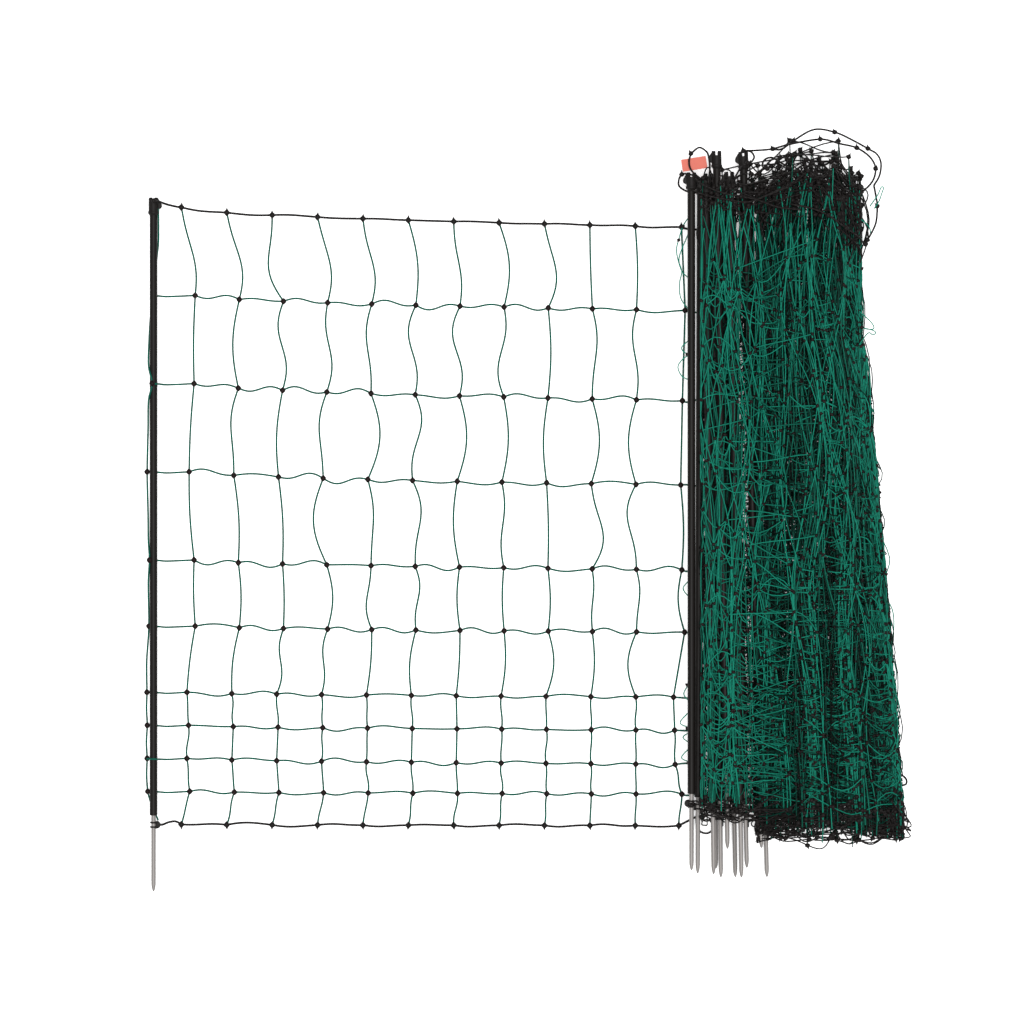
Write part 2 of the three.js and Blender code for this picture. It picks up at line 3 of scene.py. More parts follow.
import bpy
import numpy as np
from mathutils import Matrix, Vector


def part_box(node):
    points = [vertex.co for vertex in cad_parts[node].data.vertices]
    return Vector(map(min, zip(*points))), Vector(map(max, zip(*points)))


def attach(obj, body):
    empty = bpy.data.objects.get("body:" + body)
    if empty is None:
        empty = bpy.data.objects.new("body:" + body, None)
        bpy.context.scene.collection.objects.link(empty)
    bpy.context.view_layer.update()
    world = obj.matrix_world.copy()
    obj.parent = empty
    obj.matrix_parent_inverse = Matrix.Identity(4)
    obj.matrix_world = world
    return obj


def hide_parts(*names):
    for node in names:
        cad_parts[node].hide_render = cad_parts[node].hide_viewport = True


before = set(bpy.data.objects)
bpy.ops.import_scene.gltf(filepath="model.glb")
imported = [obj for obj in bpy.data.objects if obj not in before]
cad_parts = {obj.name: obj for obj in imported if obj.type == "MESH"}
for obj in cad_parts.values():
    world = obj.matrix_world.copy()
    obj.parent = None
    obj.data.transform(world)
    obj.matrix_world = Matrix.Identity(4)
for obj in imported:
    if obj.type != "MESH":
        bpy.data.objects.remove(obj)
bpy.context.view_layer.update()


# The view. One camera hangs straight above the net, which lies flat on the floor with the heads of its posts
# upward. All places below are in millimetres from the shoulder of the left post, x to the right, y to the
# heads, z from the floor.
FLOOR_ACROSS = 1.8586
LENS = 180.0
SENSOR = 36.0
MIDDLE_OF_VIEW = (649.9, 550.1)


def bar_ends(node, reach=0.003):
    """Middles of a round bar's two ends: the mean of its corners within reach of its lowest and of its
    highest y."""
    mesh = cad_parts[node].data
    corners = np.empty(len(mesh.vertices) * 3)
    mesh.vertices.foreach_get("co", corners)
    corners = np.unique(np.round(corners.reshape(-1, 3), 6), axis=0)
    y = corners[:, 1]
    return corners[y < y.min() + reach].mean(0), corners[y > y.max() - reach].mean(0)


shoulder = bar_ends("post_rod_01")[0]
origin = np.array([shoulder[0], shoulder[1], 0.0])


def placed(points):
    """Places in the frame: origin + millimetres / 1000."""
    return origin + np.asarray(points, float) / 1000


camera = bpy.data.objects.new("camera_above", bpy.data.cameras.new("camera_above"))
camera.data.lens = LENS
camera.data.sensor_width = SENSOR
camera.data.clip_end = 30
camera.location = placed([*MIDDLE_OF_VIEW, 1000 * FLOOR_ACROSS * LENS / SENSOR])
bpy.context.scene.collection.objects.link(camera)
bpy.context.scene.camera = camera
bpy.context.scene.view_settings.view_transform = "Standard"


# The floor and the light. The floor is a plain sheet, near white and matt, that glows a little, so that the
# shadows on it stay pale. One wide soft lamp overhead and a pale room light it.
FLOOR_SIZE = 7.0
LAMP_STRENGTH = 3.9
LAMP_SPREAD = 0.55
LAMP_TILT = (0.05, 0.05)
ROOM_STRENGTH = 0.6
FLOOR_GLOW = 0.3
RELIEF_HEIGHT = 0.0004


def paint(name, colour, shade, scale, roughness, metallic=0.0, bump=0.0, shine=0.5, stretch=(1, 1, 1)):
    """A finish that mottles from colour to shade: colour + (shade - colour) * noise(scale * stretch * object
    place)."""
    material = bpy.data.materials.new(name)
    material.use_nodes = True
    nodes, links = material.node_tree.nodes, material.node_tree.links
    surface = nodes["Principled BSDF"]
    surface.inputs["Roughness"].default_value = roughness
    surface.inputs["Metallic"].default_value = metallic
    surface.inputs["Specular IOR Level"].default_value = shine
    place = nodes.new("ShaderNodeTexCoord")
    spread = nodes.new("ShaderNodeVectorMath")
    spread.operation = "MULTIPLY"
    spread.inputs[1].default_value = stretch
    noise = nodes.new("ShaderNodeTexNoise")
    noise.name = "mottle"
    noise.inputs["Scale"].default_value = scale
    noise.inputs["Detail"].default_value = 4.0
    mix = nodes.new("ShaderNodeMix")
    mix.data_type = "RGBA"
    mix.inputs["A"].default_value = (*colour, 1)
    mix.inputs["B"].default_value = (*shade, 1)
    links.new(place.outputs["Object"], spread.inputs[0])
    links.new(spread.outputs[0], noise.inputs["Vector"])
    links.new(noise.outputs["Fac"], mix.inputs["Factor"])
    links.new(mix.outputs["Result"], surface.inputs["Base Color"])
    if bump:
        relief = nodes.new("ShaderNodeBump")
        relief.name = "relief"
        relief.inputs["Strength"].default_value = bump
        relief.inputs["Distance"].default_value = RELIEF_HEIGHT
        links.new(noise.outputs["Fac"], relief.inputs["Height"])
        links.new(relief.outputs["Normal"], surface.inputs["Normal"])
    return material


half = FLOOR_SIZE / 2
floor_mesh = bpy.data.meshes.new("floor")
floor_mesh.from_pydata(
    [(-half, -half, -0.0005), (half, -half, -0.0005), (half, half, -0.0005), (-half, half, -0.0005)],
    [], [(0, 1, 2, 3)],
)
pale_floor = paint("pale_floor", (0.90, 0.90, 0.90), (0.88, 0.88, 0.88), 3.0, 0.9, shine=0.1)
pale_floor.node_tree.nodes["Principled BSDF"].inputs["Emission Color"].default_value = (1, 1, 1, 1)
pale_floor.node_tree.nodes["Principled BSDF"].inputs["Emission Strength"].default_value = FLOOR_GLOW
floor_mesh.materials.append(pale_floor)
floor = bpy.data.objects.new("floor", floor_mesh)
bpy.context.scene.collection.objects.link(floor)
lamp = bpy.data.objects.new("wide_lamp", bpy.data.lights.new("wide_lamp", "SUN"))
lamp.data.energy = LAMP_STRENGTH
lamp.data.angle = LAMP_SPREAD
lamp.rotation_euler = (LAMP_TILT[0], LAMP_TILT[1], 0)
bpy.context.scene.collection.objects.link(lamp)
room = bpy.data.worlds.new("pale_room")
room.use_nodes = True
room.node_tree.nodes["Background"].inputs["Color"].default_value = (1, 1, 1, 1)
room.node_tree.nodes["Background"].inputs["Strength"].default_value = ROOM_STRENGTH
bpy.context.scene.world = room


# The rods of the twelve posts: extruded black plastic, round and smooth, each a little rounded at its two cut
# ends. One lies at the left edge of the open bay and eleven are stacked in three layers beside the gathered
# net.
POSTS = [f"{number:02d}" for number in range(1, 13)]
ROD_PROFILE = [(0.0, 5.4), (0.25, 6.5), (0.9, 6.95), (1.6, 7.0)]
ROUND_SIDES = 48
HEAD_MIDDLE = 1106.0


def shell(rings, ends=True, painted_shade_and_tone=0.0):
    """Skin over rings (body, step, side, xyz): quads between neighbouring rings and, with ends, a flat face
    at each end. A corner's UV is (length along the middles of the rings / 10 mm, side / sides). The last
    argument is each body's darkening, from 0 to 1. In a pile it is painted shade, its share of the shade
    inside the pile, from 0 on its face to 1 deep in it. On the open bay it is an even darker tone of the
    twine."""
    count, steps, sides = rings.shape[:3]
    number = np.arange(count * steps * sides).reshape(count, steps, sides)
    near, far = number[:, :-1], number[:, 1:]
    quads = np.stack([near, far, np.roll(far, -1, 2), np.roll(near, -1, 2)], -1).reshape(-1, 4)
    reach = np.linalg.norm(np.diff(rings.mean(2), axis=1), axis=2)
    along = np.pad(np.cumsum(reach, axis=1), ((0, 0), (1, 0)))[:, :, None] / 0.01 + np.zeros(sides)
    turn = np.broadcast_to(np.arange(sides) / sides, near.shape)
    u = np.stack([along[:, :-1], along[:, 1:], along[:, 1:], along[:, :-1]], -1)
    v = np.stack([turn, turn, turn + 1 / sides, turn + 1 / sides], -1)
    caps = np.concatenate([number[:, 0], number[:, -1, ::-1]]) if ends else np.zeros((0, sides), int)
    shade = np.repeat(np.broadcast_to(painted_shade_and_tone, count), steps * sides)
    return rings.reshape(-1, 3), quads, caps, np.stack([u, v], -1).reshape(-1, 2), shade


def add_piece(name, shells, material, nodes, crease=None):
    """One object from several shells, riding on the root body and standing for the given nodes of the
    frame."""
    starts = np.cumsum([0] + [len(part[0]) for part in shells])
    quads = np.concatenate([part[1] + start for part, start in zip(shells, starts)])
    caps = [cap for part, start in zip(shells, starts) for cap in (part[2] + start).tolist()]
    mesh = bpy.data.meshes.new(name)
    mesh.from_pydata(np.concatenate([part[0] for part in shells]), [], quads.tolist() + caps)
    corners = np.zeros((len(mesh.loops), 2))
    corners[: len(quads) * 4] = np.concatenate([part[3] for part in shells])
    mesh.uv_layers.new(name="along_and_round").uv.foreach_set("vector", corners.ravel())
    mesh.polygons.foreach_set("use_smooth", np.ones(len(mesh.polygons), bool))
    # Each corner's darkening: painted shade in the gathered pile, an even darker tone on the open bay.
    painted_shade_and_tone = mesh.attributes.new("painted_shade_and_tone", "FLOAT", "POINT")
    painted_shade_and_tone.data.foreach_set("value", np.concatenate([part[4] for part in shells]))
    if crease:
        mesh.set_sharp_from_angle(angle=math.radians(crease))
    mesh.materials.append(material)
    piece = bpy.data.objects.new(name, mesh)
    bpy.context.scene.collection.objects.link(piece)
    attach(piece, "root")
    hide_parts(*nodes)
    return piece


def post_axes(number):
    """Foot of a post's rod, its three directions, each of length 1, and the rod's length. The directions run
    along the rod, across it to the side that the fin of the head is on, and up."""
    foot, head = bar_ends(f"post_rod_{number}")
    low, high = (np.array(corner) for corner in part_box(f"post_head_{number}"))
    along = (head - foot) / np.linalg.norm(head - foot)
    near_head = foot + along * HEAD_MIDDLE / 1000
    fin_side = 1.0 if high[0] - near_head[0] > near_head[0] - low[0] else -1.0
    across = np.cross(along, [0, 0, 1])
    across = fin_side * across / np.linalg.norm(across)
    return foot, along, across, np.array([0.0, 0, 1]), np.linalg.norm(head - foot)


def turned(number, profile, sides=ROUND_SIDES):
    """Rings of a turned part on a post: foot + a * along + r * (cos t * across + sin t * up), per (a, r) of
    the profile."""
    foot, along, across, up, _ = post_axes(number)
    across = across if across[0] > 0 else -across
    place, radius = np.array(profile, float).T / 1000
    t = np.arange(sides) * 2 * np.pi / sides
    ring = np.cos(t)[:, None] * across + np.sin(t)[:, None] * up
    return (foot + place[:, None, None] * along + radius[:, None, None] * ring)[None]


black_plastic = paint("black_plastic", (0.0040, 0.0034, 0.0031), (0.008, 0.0066, 0.0060), 60.0, 0.48,
                      bump=0.03, shine=0.09, stretch=(1, 0.08, 1))
for number in POSTS:
    length = 1000 * post_axes(number)[4]
    far_end = [(length - a, r) for a, r in reversed(ROD_PROFILE)]
    add_piece(f"rod_{number}", [shell(turned(number, ROD_PROFILE + far_end))],
              black_plastic, [f"post_rod_{number}"], crease=50)


# The ground spikes: drawn steel rods with a satin finish and a turned point at the far end.
# Each is pushed into the foot of its post's rod.
SPIKE_PROFILE = [(-138, 0.5), (-137.4, 1.2), (-135.5, 2.1), (-132, 3.05), (-128, 3.75), (-123, 4.07),
                 (-118, 4.1), (3, 4.1)]

spike_steel = paint("satin_steel", (0.14, 0.130, 0.124), (0.20, 0.187, 0.179), 240.0, 0.5, metallic=0.2,
                    bump=0.05, shine=0.5, stretch=(1, 0.05, 1))
for number in POSTS:
    add_piece(f"spike_{number}", [shell(turned(number, SPIKE_PROFILE))],
              spike_steel, [f"post_spike_{number}"], crease=50)


# The heads: moulded black caps pushed over the rod, with a lipped foot, two prongs with the slot for the line
# between them, and a flat fin at one side.
HEAD_PROFILE = [(1088, 7.15), (1091, 9.7), (1092.2, 10), (1094.6, 10), (1095.2, 9.7), (1095.5, 9.0),
                (1111.6, 9.0), (1112, 8.6)]
PRONG_RADIUS = 9.0
SLOT_HALF = 2.0
PRONG_STEPS = [(1110, 1.0), (1117.8, 1.0), (1119.4, 0.93), (1120, 0.78)]
FIN_OUTLINE = [(7.2, 1097.5), (13.6, 1101), (15, 1103), (15, 1107), (13.8, 1110), (10.2, 1116), (8.4, 1117.3),
               (7.2, 1117.3)]
FIN_LAYERS = [(-2.5, 0.86), (-2.1, 1.0), (2.1, 1.0), (2.5, 0.86)]


def plate(number, outline, layers):
    """Rings of a flat moulding: foot + (m + s * (p - m)) in the plane of the net + h * up, per (h, s) of the
    layers, where p runs round the outline and m is its middle."""
    foot, along, across, up, _ = post_axes(number)
    outline = np.array(outline, float) / 1000
    middle = outline.mean(0)
    rings = [foot + (middle[0] + s * (outline[:, :1] - middle[0])) * across
             + (middle[1] + s * (outline[:, 1:] - middle[1])) * along + h / 1000 * up for h, s in layers]
    return np.array(rings if across[0] > 0 else rings[::-1])[None]


def prong(number, side):
    """Rings of one prong: the part of a disc beyond the slot, an arc and its chord, scaled towards its
    tip."""
    foot, along, across, up, _ = post_axes(number)
    across = across if across[0] > 0 else -across
    reach = math.acos(SLOT_HALF / PRONG_RADIUS)
    arc = np.linspace(-reach, reach, 21)
    chord = np.linspace(math.sin(reach), -math.sin(reach), 8)[1:-1] * PRONG_RADIUS
    x = np.concatenate([PRONG_RADIUS * np.cos(arc), np.full(6, SLOT_HALF)])
    z = np.concatenate([PRONG_RADIUS * np.sin(arc), chord])
    if side < 0:
        x, z = -x[::-1], z[::-1]
    middle = x.mean()
    rings = [foot + (a * along + (middle + s * (x - middle))[:, None] * across + s * z[:, None] * up) / 1000
             for a, s in PRONG_STEPS]
    return np.array(rings)[None]


moulded_black = paint("moulded_black", (0.006, 0.0054, 0.0052), (0.011, 0.0095, 0.009), 160.0, 0.5,
                      bump=0.06, shine=0.07)
for number in POSTS:
    shells = [shell(turned(number, HEAD_PROFILE)), shell(prong(number, 1)), shell(prong(number, -1)),
              shell(plate(number, FIN_OUTLINE, FIN_LAYERS))]
    add_piece(f"head_{number}", shells, moulded_black, [f"post_head_{number}"], crease=40)


# The foot clips: moulded black clips with two rings round the spike and a D-shaped knob between them, which
# holds the bottom line just under the foot of the rod.
RING_MIDDLES = (-21.0, -13.0)
RING_PROFILE = [(-1.5, 3.8), (-1.5, 5.9), (-1.1, 6.4), (0, 6.6), (1.1, 6.4), (1.5, 5.9), (1.5, 3.8)]
KNOB_MIDDLE = -17
KNOB_START = 4.2
KNOB_HALF = 6.8
KNOB_REACH = 12.9
KNOB_LAYERS = [(-3.5, 0.84), (-2.9, 0.97), (-2.2, 1.0), (2.2, 1.0), (2.9, 0.97), (3.5, 0.84)]

arc = np.linspace(-np.pi / 2, np.pi / 2, 17)
knob_outline = [(KNOB_START, KNOB_MIDDLE - KNOB_HALF)]
knob_outline += [(KNOB_REACH - KNOB_HALF + KNOB_HALF * math.cos(t), KNOB_MIDDLE + KNOB_HALF * math.sin(t))
                 for t in arc]
knob_outline += [(KNOB_START, KNOB_MIDDLE + KNOB_HALF)]
for number in POSTS:
    shells = [shell(turned(number, [(middle + a, r) for a, r in RING_PROFILE])) for middle in RING_MIDDLES]
    shells.append(shell(plate(number, knob_outline, KNOB_LAYERS)))
    add_piece(f"clip_{number}", shells, moulded_black, [f"foot_clip_{number}"], crease=40)


# The open bay of the net: thin green twine, twisted from plastic strands, uprights and rows tied with a hard
# black knot at every crossing. Rows stand 60 mm apart at the foot, then 120 mm, and 160 mm at the top.
ROW_HEIGHTS = np.array([-17, 43, 103, 163, 223, 343, 463, 623, 783, 943, 1103.0])
ROW_LEAN = np.array([-15, 0, -5, -2, -5, 10, 8, -1, 8, 10, -15.0])
ROW_DROP = np.array([2, 5, 11, 9, 9, 11, 18, 24, 31, 27, 36.0])
DROP_CURVE = 0.55
COLUMNS = 12
FIRST_COLUMN = 65.0
COLUMN_PITCH = 81.0
LAST_COLUMN_SHIFT = np.array([-3.5, 2, -10, -11, -13, 7, 2, 0, 3, 8, 1.4])
TWINE_RADIUS = 1.65
TWINE_DARKENING = 0.62
TWIST_RELIEF = 0.0003
ROW_WAVE = 5.5
FOOT_WAVE = 0.75
LYING_HEIGHT = 1.6
KNOT_PROFILE = [(-5.8, 0.8), (-4.2, 2.8), (-2.1, 4.7), (0, 5.4), (2.1, 4.7), (4.2, 2.8), (5.8, 0.8)]
KNOT_FLATTENED = 0.6
COLUMN_BOWS = np.array([
    [-2, -5, 1, -2, 3, -7, 2, 5, 12, 5, -15, 0],
    [-2, 4, 2, 10, -8, 5, -5, -3, 4, 1, 5, -9],
    [-3, 5, 4, -21, 7, 11, -9, 0, 2, 18, -13, 4],
    [-2, -9, -7, -10, 19, 8, 15, 10, -7, 14, -14, 0],
    [-2, -11, -2, 4, -7, -7, -6, -5, 5, 7, -3, 0],
    [7, 11, -17, 12, 9, 10, 4, 14, 16, -1, 3, 0.0],
])
COLUMN_SWINGS = np.array([
    [0, 0, 5, 4, 0, 0, 0, 0, 0, 0, 0, 0],
    [0, 0, 0, 0, -3, -4, 0, 0, 0, -2, -2, 0],
    [0, 0, 0, 0, -2, -5, 0, -4, 0, 6, 6, 0],
    [0, 3, 0, 3, 0, -7, 0, 0, 0, 0, 0, 0],
    [0, 0, 8, 6, 4, 8, 9, -7, 0, -3, 5, 0],
    [3, 4, -5, 3, 4, 0, 3, 0, 4, 0, 0, 0.0],
])
EDGE_TWINE = [
    (8.8, 1100, 12), (8.8, 1062, 8), (8.0, 1035, 3), (3, 990, 1.3), (-1, 943, 1.3), (-6, 905, 1.3),
    (-8.6, 860, 4), (-8.8, 815, 12), (-2, 783, 18.6), (-8.9, 752, 12), (-10.5, 700, 2.5), (-12.2, 623, 2.4),
    (-10.5, 545, 2.2), (-9.5, 500, 8), (-7, 463, 15), (-9.6, 420, 8), (-9, 343, 2.4), (-13, 280, 2),
    (-12.6, 223, 2.4), (-13.4, 193, 2), (-12, 163, 2.4), (-13.6, 133, 2), (-12.3, 103, 2.4), (-13.2, 73, 2),
    (-11, 43, 2.4), (-6, 24, 1.6), (0, 10, 1.4), (8, -9, 6),
]
EDGE_ROWS = {
    1: (-11, 43, 1.3, 1.3), 2: (-12.3, 103, 16, 18.4), 3: (-12, 163, 1.3, 1.3), 4: (-12.6, 223, 1.3, 1.3),
    5: (-9, 343, 1.3, 1.3), 6: (-7, 463, 1.3, 1.3), 7: (-12.2, 623, 1.3, 1.3), 8: (-2, 783, 18.4, 18.4),
    9: (-1, 943, 1.3, 1.3),
}
EDGE_KNOTS = [(-11, 43, 3), (-12.3, 103, 3), (-12, 163, 3), (-12.6, 223, 3), (-9, 343, 2.8), (-7, 463, 15.5),
              (-12.2, 623, 3), (-2, 783, 19.2)]
rng = np.random.default_rng(7)


def tube(paths, radius, sides):
    """Rings round paths (strand, step, xyz) in mm: p + r * (cos a * s + sin a * w), where s is the tangent
    turned level to the right and w stands on both. A strand that stands on end keeps s along x."""
    tangent = np.gradient(paths, axis=1)
    s = np.stack([tangent[..., 1], -tangent[..., 0], np.zeros(tangent.shape[:2])], -1)
    s = s + np.array([1e-3, 0, 0]) * np.linalg.norm(tangent, axis=2, keepdims=True)
    s = s / np.linalg.norm(s, axis=2, keepdims=True)
    w = np.cross(s, tangent)
    w = w / np.linalg.norm(w, axis=2, keepdims=True)
    a = (np.arange(sides) * 2 * np.pi / sides)[:, None]
    rings = paths[:, :, None] + radius * (np.cos(a) * s[:, :, None] + np.sin(a) * w[:, :, None])
    return placed(rings)


def spans(starts, ends, bow, swing, steps):
    """Twines between knots: a + (b - a) t + bow sin(pi t) + swing sin(2 pi t), each term a vector."""
    t = np.linspace(0, 1, steps)[None, :, None]
    path = starts[:, None] + (ends - starts)[:, None] * t
    return path + bow[:, None] * np.sin(np.pi * t) + swing[:, None] * np.sin(2 * np.pi * t)


def smooth(points, steps):
    """A curve through the points, from each to the next by Catmull and Rom's rule, with steps points to a
    stretch."""
    p = np.array(points, float)
    p = np.concatenate([[2 * p[0] - p[1]], p, [2 * p[-1] - p[-2]]])
    t = np.linspace(0, 1, steps, endpoint=False)[None, :, None]
    a, b, c, d = (p[i: len(p) - 3 + i, None] for i in range(4))
    curve = 0.5 * (2 * b + (c - a) * t + (2 * a - 5 * b + 4 * c - d) * t ** 2
                   + (3 * b - a - 3 * c + d) * t ** 3)
    return np.concatenate([curve.reshape(-1, 3), p[-2:-1]])[None]


def knots(places, profile, size=1.0, turn=0.0, sides=8):
    """Rings of knots: place + r * size * (cos a across, flattened sin a up) + y * size along, turned in the
    plane."""
    y, r = np.array(profile, float).T
    places = np.asarray(places, float)
    size = np.broadcast_to(size, len(places))[:, None, None]
    turn = np.broadcast_to(turn, len(places))[:, None, None]
    a = np.arange(sides) * 2 * np.pi / sides
    across = size * r[None, :, None] * np.cos(a)
    along = size * y[None, :, None] + 0 * a
    up = size * KNOT_FLATTENED * r[None, :, None] * np.sin(a)
    x = across * np.cos(turn) - along * np.sin(turn)
    return placed(places[:, None, None] + np.stack([x, across * np.sin(turn) + along * np.cos(turn), up], -1))


def twisted(material, pitch, depth):
    """Adds the relief of twisted strands: a sine of pitch turns to 10 mm along the piece's UV, three strands
    round."""
    nodes, links = material.node_tree.nodes, material.node_tree.links
    place = nodes.new("ShaderNodeUVMap")
    place.uv_map = "along_and_round"
    turns = nodes.new("ShaderNodeVectorMath")
    turns.operation = "DOT_PRODUCT"
    turns.inputs[1].default_value = (2 * math.pi * pitch, 6 * math.pi, 0)
    wave = nodes.new("ShaderNodeMath")
    wave.operation = "SINE"
    relief = nodes.new("ShaderNodeBump")
    relief.inputs["Strength"].default_value = depth
    relief.inputs["Distance"].default_value = TWIST_RELIEF
    links.new(place.outputs["UV"], turns.inputs[0])
    links.new(turns.outputs["Value"], wave.inputs[0])
    links.new(wave.outputs[0], relief.inputs["Height"])
    links.new(relief.outputs["Normal"], nodes["Principled BSDF"].inputs["Normal"])
    return material


def with_painted_shade(material, darkest):
    """Paints shade into the finish: colour * (1 - (1 - darkest) * b), where b is the piece's darkening
    attribute.
    b is painted shade inside the gathered pile and an even darker tone on the open bay.
    """
    nodes, links = material.node_tree.nodes, material.node_tree.links
    base = nodes["Principled BSDF"].inputs["Base Color"]
    painted_shade_and_tone = nodes.new("ShaderNodeAttribute")
    painted_shade_and_tone.attribute_name = "painted_shade_and_tone"
    share = nodes.new("ShaderNodeMapRange")
    share.inputs["To Min"].default_value = 1.0
    share.inputs["To Max"].default_value = darkest
    scale = nodes.new("ShaderNodeVectorMath")
    scale.operation = "SCALE"
    colour = base.links[0].from_socket
    links.new(painted_shade_and_tone.outputs["Fac"], share.inputs["Value"])
    links.new(colour, scale.inputs[0])
    links.new(share.outputs["Result"], scale.inputs["Scale"])
    links.new(scale.outputs[0], base)
    return material


green_twine = paint("green_twine", (0.003, 0.110, 0.069), (0.008, 0.220, 0.150), 45.0, 0.55, shine=0.08)
# Painted shade: the twine darkens with its piece's darkening attribute, down to 0.02 of its colour deep in
# the gathered pile. On the open bay the same attribute darkens the twine evenly.
with_painted_shade(twisted(green_twine, 1.4, 0.5), 0.02)
knot_black = paint("knot_black", (0.0035, 0.0022, 0.0022), (0.012, 0.0060, 0.0060), 120.0, 0.5,
                   bump=0.1, shine=0.07)
# Painted shade: the knots darken with the same attribute, down to 0.15 of their colour deep in the gathered
# pile.
with_painted_shade(knot_black, 0.15)
column = np.arange(COLUMNS)
along_bay = column / (COLUMNS - 1)
knot_x = FIRST_COLUMN + COLUMN_PITCH * column + ROW_LEAN[:, None] * (1 - along_bay)
knot_y = ROW_HEIGHTS[:, None] - ROW_DROP[:, None] * along_bay ** DROP_CURVE
knot_x[:, -1] += LAST_COLUMN_SHIFT
crossings = np.stack([knot_x, knot_y, np.full(knot_x.shape, LYING_HEIGHT)], -1)
low_cells = len(ROW_HEIGHTS) - 1 - len(COLUMN_BOWS)
bows = np.zeros((len(ROW_HEIGHTS) - 1, COLUMNS, 3))
bows[low_cells:, :, 0] = COLUMN_BOWS
swings = np.zeros_like(bows)
swings[..., 0] = np.concatenate([rng.uniform(-1.5, 1.5, (low_cells, COLUMNS)), COLUMN_SWINGS])
uprights = spans(crossings[:-1].reshape(-1, 3), crossings[1:].reshape(-1, 3),
                 bows.reshape(-1, 3), swings.reshape(-1, 3), 17)
inner = crossings[1:-1]
wave = np.zeros((len(inner), COLUMNS - 1, 2, 3))
wave[..., 1] = rng.uniform(-ROW_WAVE, ROW_WAVE, wave.shape[:3])
wave[:low_cells, :, :, 1] *= FOOT_WAVE
row_twines = spans(inner[:, :-1].reshape(-1, 3), inner[:, 1:].reshape(-1, 3),
                   wave[:, :, 0].reshape(-1, 3), wave[:, :, 1].reshape(-1, 3), 17)
starts = [smooth([(x, y, z), (0, y - 0.5, over), (10, y - 1, 0.75 * over), (26, y - 2, 1.4),
                  tuple(crossings[row, 0])], 7)
          for row, (x, y, z, over) in EDGE_ROWS.items()]
finishes = [smooth([(x, y, z), (968, y + rng.uniform(-3, 3), 2.5), (990, y + rng.uniform(-6, 6), 5)], 7)
            for x, y, z in inner[:, -1].tolist()]
# The open bay twine is darkened evenly through the darkening attribute, to about 0.39 of its colour.
twines = [shell(tube(paths, TWINE_RADIUS, 8), painted_shade_and_tone=TWINE_DARKENING) for paths in (
    uprights, row_twines, smooth(EDGE_TWINE, 6), np.concatenate(starts), np.concatenate(finishes))]
add_piece("open_bay_twine", twines, green_twine, ["mesh_spread"])
knot_places = np.concatenate([inner.reshape(-1, 3) + [0, 0, 1.2], EDGE_KNOTS])
knot_turns = rng.uniform(-0.15, 0.15, len(knot_places))
add_piece("open_bay_knots", [shell(knots(knot_places, KNOT_PROFILE, turn=knot_turns))],
          knot_black, ["mesh_spread"])


# The top line of the open bay: one black cord, tied to every upright with a knot whose cut end stands up as a
# spur. Its free end lies in the slot of the left post's head, held there by a stop knot.
LINE_RADIUS = 2.0
SPUR_PROFILE = [(-6.0, 0.5), (-4.4, 2.0), (-2.2, 4.2), (0, 5.6), (2.2, 4.2), (4.2, 2.1), (6.4, 0.9),
                (8.6, 0.35)]
TOP_LINE_START = [(0, 1113.8, 6), (0, 1113.8, 14), (0.6, 1113.9, 20), (4, 1113.4, 22.6), (12, 1111.8, 20),
                  (25, 1107.6, 10), (44, 1103.5, 3)]
STOP_KNOT = [(-4.2, 1.5), (-3.4, 3.0), (-1.6, 4.1), (0, 4.5), (1.6, 4.1), (3.4, 3.0), (4.2, 1.5)]

black_cord = paint("black_cord", (0.0035, 0.0030, 0.0029), (0.009, 0.0070, 0.0068), 60.0, 0.5, shine=0.10)
twisted(black_cord, 1.0, 0.6)
line_bow = np.zeros((COLUMNS - 1, 3))
line_bow[:, 1] = [-2.5, -2, 1.5, -1, 0.5, 0, 1, -0.5, 1, 0.5, -1.5]
top_knots = crossings[10] + [0, 0, 0.9]
top_line = [shell(tube(smooth(TOP_LINE_START + [tuple(top_knots[0])], 6), LINE_RADIUS, 8)),
            shell(tube(spans(top_knots[:-1], top_knots[1:], line_bow, 0.3 * line_bow[::-1], 13),
                       LINE_RADIUS, 8)),
            shell(tube(smooth([tuple(top_knots[-1]), (966, 1064, 6), (985, 1062, 14)], 6), LINE_RADIUS, 8)),
            shell(knots(top_knots + [0, 0, 1.6], SPUR_PROFILE, size=1.1,
                        turn=rng.uniform(-0.12, 0.12, COLUMNS))),
            shell(knots([(1.2, 1113.8, 22.8)], STOP_KNOT, turn=0.5, sides=16))]
add_piece("top_line_open", top_line, black_cord, ["top_line_spread"])


# The bottom line of the open bay: the same black cord, from the knob of the left foot clip along the feet of
# the uprights. The spurs of its knots point down.
BOTTOM_LINE_START = [(12, -17, 10), (17, -16.6, 9.5), (28, -12.5, 5), (40, -11.5, 2.4)]

foot_bow = np.zeros((COLUMNS - 1, 3))
foot_bow[:, 1] = [0.8, 4, -3, 1.5, -2, 1, -2, 2, -1.5, 1, -2]
foot_knots = crossings[0] + [0, 0, 0.9]
bottom_line = [shell(tube(smooth(BOTTOM_LINE_START + [tuple(foot_knots[0])], 6), LINE_RADIUS, 8)),
               shell(tube(spans(foot_knots[:-1], foot_knots[1:], foot_bow, 0.4 * foot_bow[::-1], 13),
                          LINE_RADIUS, 8)),
               shell(tube(smooth([tuple(foot_knots[-1]), (966, -12, 5), (985, -2, 10)], 6), LINE_RADIUS, 8)),
               shell(knots(foot_knots + [0, 0, 1.6], SPUR_PROFILE, size=1.1,
                           turn=np.pi + rng.uniform(-0.12, 0.12, COLUMNS)))]
add_piece("bottom_line_open", bottom_line, black_cord, ["bottom_line_spread"])


